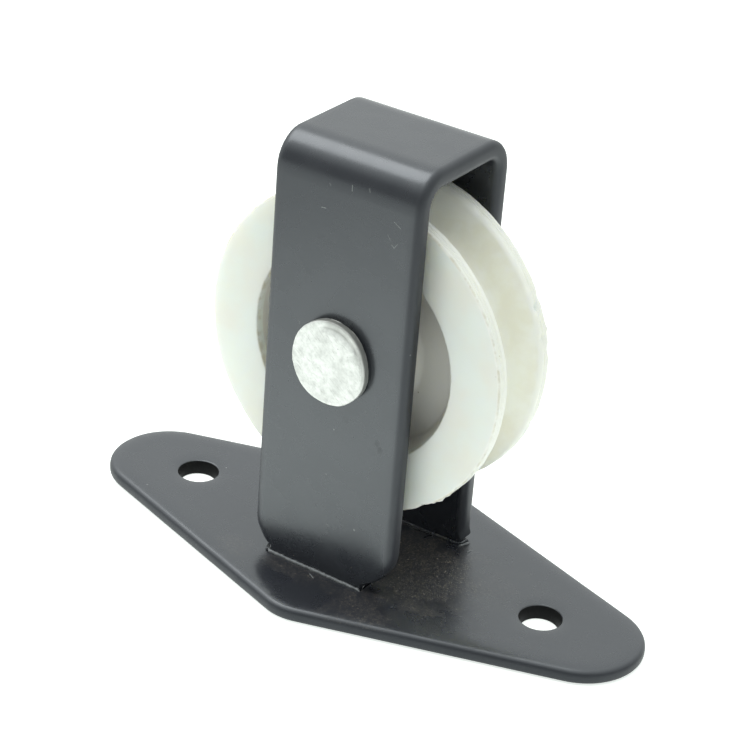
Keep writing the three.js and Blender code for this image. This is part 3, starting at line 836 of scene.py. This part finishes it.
def wheel_half_profile():
    """(radius, y) from the groove's middle to the bore, on the +Y half."""
    face = WHEEL_HALF_WIDTH
    lip_y = face - RIM_LAND_WIDTH
    lip_radius = WHEEL_RADIUS - GROOVE_LIP_RADIUS
    flank = math.degrees(GROOVE_FLANK_ANGLE)
    bottom_centre = lip_radius - (lip_y * math.cos(GROOVE_FLANK_ANGLE)
                                  - (GROOVE_LIP_RADIUS + GROOVE_BOTTOM_RADIUS)) / math.sin(GROOVE_FLANK_ANGLE)
    points = arc((bottom_centre, 0), GROOVE_BOTTOM_RADIUS, 180, 90 + flank, 16)
    points += arc((lip_radius, lip_y), GROOVE_LIP_RADIUS, -90 + flank, 0, 12)
    points += rim_land(lip_y, face - RIM_EDGE_RADIUS)
    points += arc((WHEEL_RADIUS - RIM_EDGE_RADIUS, face - RIM_EDGE_RADIUS), RIM_EDGE_RADIUS, 0, 90, 5)
    points += [(WHEEL_RADIUS - 3 * MM, face), (DISH_MOUTH_RADIUS + 1 * MM, face)]
    floor = face - DISH_DEPTH
    lip, fillet, corner = 0.25 * MM, 0.6 * MM, 0.3 * MM
    points += arc((DISH_MOUTH_RADIUS + lip, face - lip), lip, 90, 165, 4)
    points += arc((DISH_FLOOR_RADIUS - fillet, floor + fillet), fillet, 0, -90, 6)
    points += arc((HUB_FOOT_RADIUS + fillet, floor + fillet), fillet, -90, -180, 6)
    points += arc((HUB_RADIUS - corner, face - corner), corner, 0, 90, 4)
    bore = SLEEVE_RADIUS + CLEARANCE
    points += arc((bore + corner, face - corner), corner, 90, 180, 3)
    return points


def rim_land(start, end):
    """The rim's outer band, with two fine turned lines."""
    line, depth = 0.12 * MM, 0.14 * MM
    points = []
    for share in (0.3, 0.7):
        y = start + (end - start) * share
        points += [(WHEEL_RADIUS, y - line), (WHEEL_RADIUS - depth, y), (WHEEL_RADIUS, y + line)]
    return points


FINE_RIPPLE, BROAD_RIPPLE = 0.08 * MM, 0.1 * MM
# Nicks in the rims: degrees, y and depth in mm.
NICKS = [(14, 5.4, 0.35), (24.5, 5.5, 0.5), (27, 6.3, 0.35), (33, 5.0, 0.2), (61, 5.0, 0.2), (9, 6.4, 0.3),
         (-20, 6.4, 0.25), (150, -5.4, 0.3), (231, 5.5, 0.3), (-38, -6.7, 0.3), (-55, -6.7, 0.35)]
# Burrs left on the near rim: degrees, y and height in mm.
BURRS = [(-46.8, -6.75, 0.65), (-49.5, -6.8, 0.3), (-43, -6.8, 0.25), (16.5, 6.8, 0.35)]
# How wide a nick and a burr are: round the rim in degrees, and across it.
NICK_SPREAD, NICK_WIDTH = 1.3, 0.7 * MM
BURR_SPREAD, BURR_WIDTH = 0.75, 0.3 * MM


def mark(angle, y, mark_degrees, mark_y, spread, width):
    """1 in the middle of a mark on the rim, and less the further off it is."""
    off = (math.degrees(angle) - mark_degrees + 180) % 360 - 180
    return math.exp(-(off / spread) ** 2) * math.exp(-((y - mark_y * MM) / width) ** 2)


def shape_wheel(radius, y, angle):
    """Rims that aren't quite even, with their nicks and burrs."""
    x, z = math.cos(angle), math.sin(angle)
    near_rim = soft_step(WHEEL_RADIUS - 1.4 * MM, WHEEL_RADIUS - 0.2 * MM, radius)
    fine, broad = bump_field(x, z, y / (12 * MM), 0.05), bump_field(x, z, 0, 0.3, 3.0)
    ripple = FINE_RIPPLE * fine + BROAD_RIPPLE * broad
    radius += near_rim * (ripple - BROAD_RIPPLE)
    for degrees, nick_y, depth in NICKS:
        radius -= near_rim * depth * MM * mark(angle, y, degrees, nick_y, NICK_SPREAD, NICK_WIDTH)
    for degrees, burr_y, height in BURRS:
        radius += near_rim * height * MM * mark(angle, y, degrees, burr_y, BURR_SPREAD, BURR_WIDTH)
    return radius, y + near_rim * 0.03 * MM * bump_field(x, z, 0, 0.12, 7.0)


def build_wheel(nylon):
    half = wheel_half_profile()
    mirrored = [(r, -y) for r, y in reversed(half[1:])]
    profile = mirrored + half
    bm = lathe(profile + profile[:1], WHEEL_Y, WHEEL_SEGMENTS, shape_wheel)
    return add_piece("wheel_moulding", bm, "wheel", nylon, ["pulley_wheel"])


# ---- Axle ----

# The head is pressed taller upwards, and its edge is stepped at the upper right.
HEAD_STRETCH = 0.75 * MM
STEP_ANGLE = math.radians(42)
STEP_DEPTH = 0.26 * MM
HEAD_WOBBLE, HEAD_RIPPLE, FACE_DENTS = 0.16 * MM, 0.05 * MM, 0.07 * MM


def shape_rivet(radius, y, angle):
    """A pressed head, not quite round, with a dented face and a stepped edge. The tail is uneven too."""
    x, z = radius * math.cos(angle), radius * math.sin(angle)
    if abs(y) < LEG_OUTER_Y - 0.1 * MM:
        return radius, y
    share = soft_step(SHANK_RADIUS * 0.5, HEAD_RADIUS, radius)
    wobble = bump_field(math.cos(angle), math.sin(angle), 0, 0.7, 2.0) - 0.4
    fine = bump_field(math.cos(angle), math.sin(angle), y / (2 * MM), 0.16, 6.0)
    stretch = HEAD_STRETCH * max(0.0, math.sin(angle)) ** 1.5 if y < 0 else 0.0
    radius += share * (HEAD_WOBBLE * wobble + HEAD_RIPPLE * fine) + stretch * radius / HEAD_RADIUS
    if abs(y) > LEG_OUTER_Y + 0.6 * MM:
        y -= math.copysign(FACE_DENTS * (1 + bump_field(x, 0, z, 2.5 * MM, 5.0)), y)
    if y < 0 and HEAD_RADIUS - 0.95 * MM < radius:
        upper_right = soft_step(0.1, 0.8, math.cos(angle - STEP_ANGLE))
        step = soft_step(HEAD_RADIUS - 0.65 * MM, HEAD_RADIUS - 0.4 * MM, radius)
        y += STEP_DEPTH * upper_right * step * soft_step(-LEG_OUTER_Y - 0.3 * MM, -LEG_OUTER_Y - 1.2 * MM, y)
    return radius, y


def build_rivet(aluminium):
    """A flat head with a crisp edge in front, the shank, and a domed tail behind."""
    head = RIVET_LOW.y
    edge = 0.22 * MM
    face_radius, hollow = HEAD_RADIUS - 0.9 * MM, 0.05 * MM
    rings = 10
    face = [(face_radius * i / rings, head + hollow) for i in range(rings + 1)]
    lip = [(HEAD_RADIUS - 0.7 * MM, head + 0.03 * MM), (HEAD_RADIUS - 0.4 * MM, head)]
    rim = arc((HEAD_RADIUS - edge, head + edge), edge, -80, 0, 6)
    waist = [(HEAD_RADIUS, head + 0.9 * MM), (HEAD_RADIUS - 0.04 * MM, head + 1.15 * MM),
             (HEAD_RADIUS - 0.02 * MM, head + 1.4 * MM), (HEAD_RADIUS - 0.3 * MM, -LEG_OUTER_Y)]
    shank = [(SHANK_RADIUS, -LEG_OUTER_Y), (SHANK_RADIUS, LEG_OUTER_Y)]
    height = RIVET_HIGH.y - LEG_OUTER_Y
    tail = [(RIVET_TAIL_RADIUS * c, LEG_OUTER_Y + height * s) for c, s in arc((0, 0), 1, 0, 90, 12)]
    tail[-1] = (0, tail[-1][1])
    bm = lathe(face + lip + rim + waist + shank + tail, 0, RIVET_SEGMENTS, shape_rivet)
    return add_piece("rivet", bm, "bracket_assembly", aluminium, ["axle_rivet"])


def ring_profile(inner, outer, low, high, edge):
    """Section of a ring with rounded edges, closed on itself."""
    loop = []
    corners = [(outer - edge, high - edge), (inner + edge, high - edge),
               (inner + edge, low + edge), (outer - edge, low + edge)]
    for quarter, corner in enumerate(corners):
        loop += arc(corner, edge, 90 * quarter, 90 * quarter + 90, 4)
    return loop + loop[:1]


def build_tube_and_washers(steel):
    tube = ring_profile(SHANK_RADIUS + CLEARANCE, SLEEVE_RADIUS, SLEEVE_LOW.y, SLEEVE_HIGH.y, 0.2 * MM)
    bm = lathe(tube, 0, RING_SEGMENTS)
    add_piece("tube", bm, "bracket_assembly", steel, ["distance_sleeve"])
    for node in ("front_washer", "rear_washer"):
        low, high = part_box(node)
        washer = ring_profile(SLEEVE_RADIUS + CLEARANCE, WASHER_RADIUS, low.y, high.y, 0.15 * MM)
        bm = lathe(washer, 0, RING_SEGMENTS)
        add_piece("thrust_" + node, bm, "bracket_assembly", steel, [node])


# ---- Stage ----

FLOOR_PALE = (0.68, 0.7, 0.685, 1)
FLOOR_DIM = (0.42, 0.43, 0.425, 1)
FLOOR_TINT = (0.95, 1.0, 0.965, 1)
# Painted pool of light: the floor's brightest glow, before and left of the object, and how far it reaches.
POOL = (-28 * MM, -45 * MM)
POOL_REACH = (0, 60 * MM)
POOL_GLOW, REST_GLOW = 0.95, 0.68
# Painted shade on the floor, well off the object: direction, and where the shade starts and is full.
FLOOR_SHADES = [((0.9, 0.43), 69 * MM, 105 * MM), ((0.53, -0.85), 64 * MM, 115 * MM),
                ((-0.85, -0.53), 114 * MM, 135 * MM)]
SHADE_GLOW = 0.5


def add_floor():
    """A pale floor that glows: a painted pool of light before the object, and painted shade (a dimmer colour
    and glow) at some distance from it.
    """
    bm = bmesh.new()
    bmesh.ops.create_grid(bm, x_segments=1, y_segments=1, size=3)
    mesh = bpy.data.meshes.new("floor")
    bm.to_mesh(mesh)
    bm.free()
    s = Shader("floor", Roughness=0.9)
    s.surface.inputs["Emission Color"].default_value = FLOOR_TINT
    place = s.place()
    shade = 0.0
    for direction, start, full in FLOOR_SHADES:
        reach = s.vectors("DOT_PRODUCT", place, (*direction, 0)).outputs["Value"]
        shade = s.math("MAXIMUM", shade, s.remap(reach, start, full))
    away = s.vectors("DISTANCE", place, (*POOL, 0)).outputs["Value"]
    glow = s.remap(away, *POOL_REACH, POOL_GLOW, REST_GLOW)
    glow = s.math("MULTIPLY", glow, s.remap(shade, 0.0, 1.0, 1.0, SHADE_GLOW))
    s.set(Base_Color=s.mix(shade, FLOOR_PALE, FLOOR_DIM), Emission_Strength=glow)
    mesh.materials.append(s.material)
    floor = bpy.data.objects.new("floor", mesh)
    floor.location.z = PLATE_LOW.z - 0.02 * MM
    bpy.context.scene.collection.objects.link(floor)


# Brightness of the studio by height, before and behind the object: (sine of the elevation, brightness).
STUDIO_FRONT = [(0.0, 0.6), (0.1, 0.36), (0.5, 0.36), (0.8, 1.0), (1.0, 1.5)]
STUDIO_BACK = [(0.0, 0.9), (0.15, 1.15), (0.6, 1.3), (0.85, 1.4), (1.0, 1.5)]
STUDIO_TINT = (0.965, 1.0, 0.985)
# Share of the brightness left on the object's right.
STUDIO_RIGHT = 0.6
# Y of a direction where the front brightness starts to give way, and from where the one behind holds.
STUDIO_FRONT_END, STUDIO_BACK_START = -0.78, -0.2


def sky_ramp(tree, height, stops, peak):
    ramp = tree.nodes.new("ShaderNodeValToRGB")
    tree.links.new(height, ramp.inputs[0])
    elements = ramp.color_ramp.elements
    while len(elements) < len(stops):
        elements.new(0.5)
    for element, (position, value) in zip(elements, stops):
        element.position = position
        element.color = (*(value / peak * c for c in STUDIO_TINT), 1)
    return ramp.outputs[0]


def studio_range(tree, value, limits):
    """A smooth map of one value in the studio's nodes."""
    made = tree.nodes.new("ShaderNodeMapRange")
    made.interpolation_type = "SMOOTHSTEP"
    for socket, limit in limits.items():
        made.inputs[socket].default_value = limit
    tree.links.new(value, made.inputs["Value"])
    return made.outputs["Result"]


def add_studio():
    world = bpy.data.worlds.new("studio")
    bpy.context.scene.world = world
    world.use_nodes = True
    tree = world.node_tree
    direction = tree.nodes.new("ShaderNodeTexCoord").outputs["Generated"]
    split = tree.nodes.new("ShaderNodeSeparateXYZ")
    tree.links.new(direction, split.inputs[0])
    to_back = {"From Min": STUDIO_FRONT_END, "From Max": STUDIO_BACK_START}
    peak = max(value for _, value in STUDIO_FRONT + STUDIO_BACK)
    mix = tree.nodes.new("ShaderNodeMix")
    mix.data_type = "RGBA"
    tree.links.new(studio_range(tree, split.outputs[1], to_back), mix.inputs[0])
    tree.links.new(sky_ramp(tree, split.outputs[2], STUDIO_FRONT, peak), mix.inputs[6])
    tree.links.new(sky_ramp(tree, split.outputs[2], STUDIO_BACK, peak), mix.inputs[7])
    to_right = {"From Min": 0.0, "From Max": 0.9, "To Min": peak, "To Max": peak * STUDIO_RIGHT}
    background = tree.nodes["Background"]
    tree.links.new(mix.outputs[2], background.inputs[0])
    tree.links.new(studio_range(tree, split.outputs[0], to_right), background.inputs[1])


def add_light(name, azimuth, elevation, distance, size, power):
    a, e = math.radians(azimuth), math.radians(elevation)
    toward = Vector((math.sin(a) * math.cos(e), -math.cos(a) * math.cos(e), math.sin(e)))
    data = bpy.data.lights.new(name, "AREA")
    data.shape = "RECTANGLE"
    data.size, data.size_y = size
    data.energy = power
    light = bpy.data.objects.new(name, data)
    light.rotation_mode = "QUATERNION"
    light.location = Vector((0, 0, AXLE_Z)) + toward * distance
    light.rotation_quaternion = toward.to_track_quat("Z", "Y")
    bpy.context.scene.collection.objects.link(light)


# ---- Build ----

add_camera()
build_plate(painted("plate_paint", plate_finish))
build_bracket(painted("strap_paint", strap_finish))
# The pale beads carry a painted highlight.
build_beads(painted("highlighted_bead_paint", highlighted_bead_finish), painted("bead_paint", plate_finish))
build_wheel(nylon_material())
build_rivet(aluminium_material())
build_tube_and_washers(steel_material())
add_floor()
add_studio()
add_light("overhead_softbox", azimuth=-90, elevation=62, distance=0.8, size=(0.5, 0.7), power=3.2)
bpy.context.scene.view_settings.view_transform = "Standard"
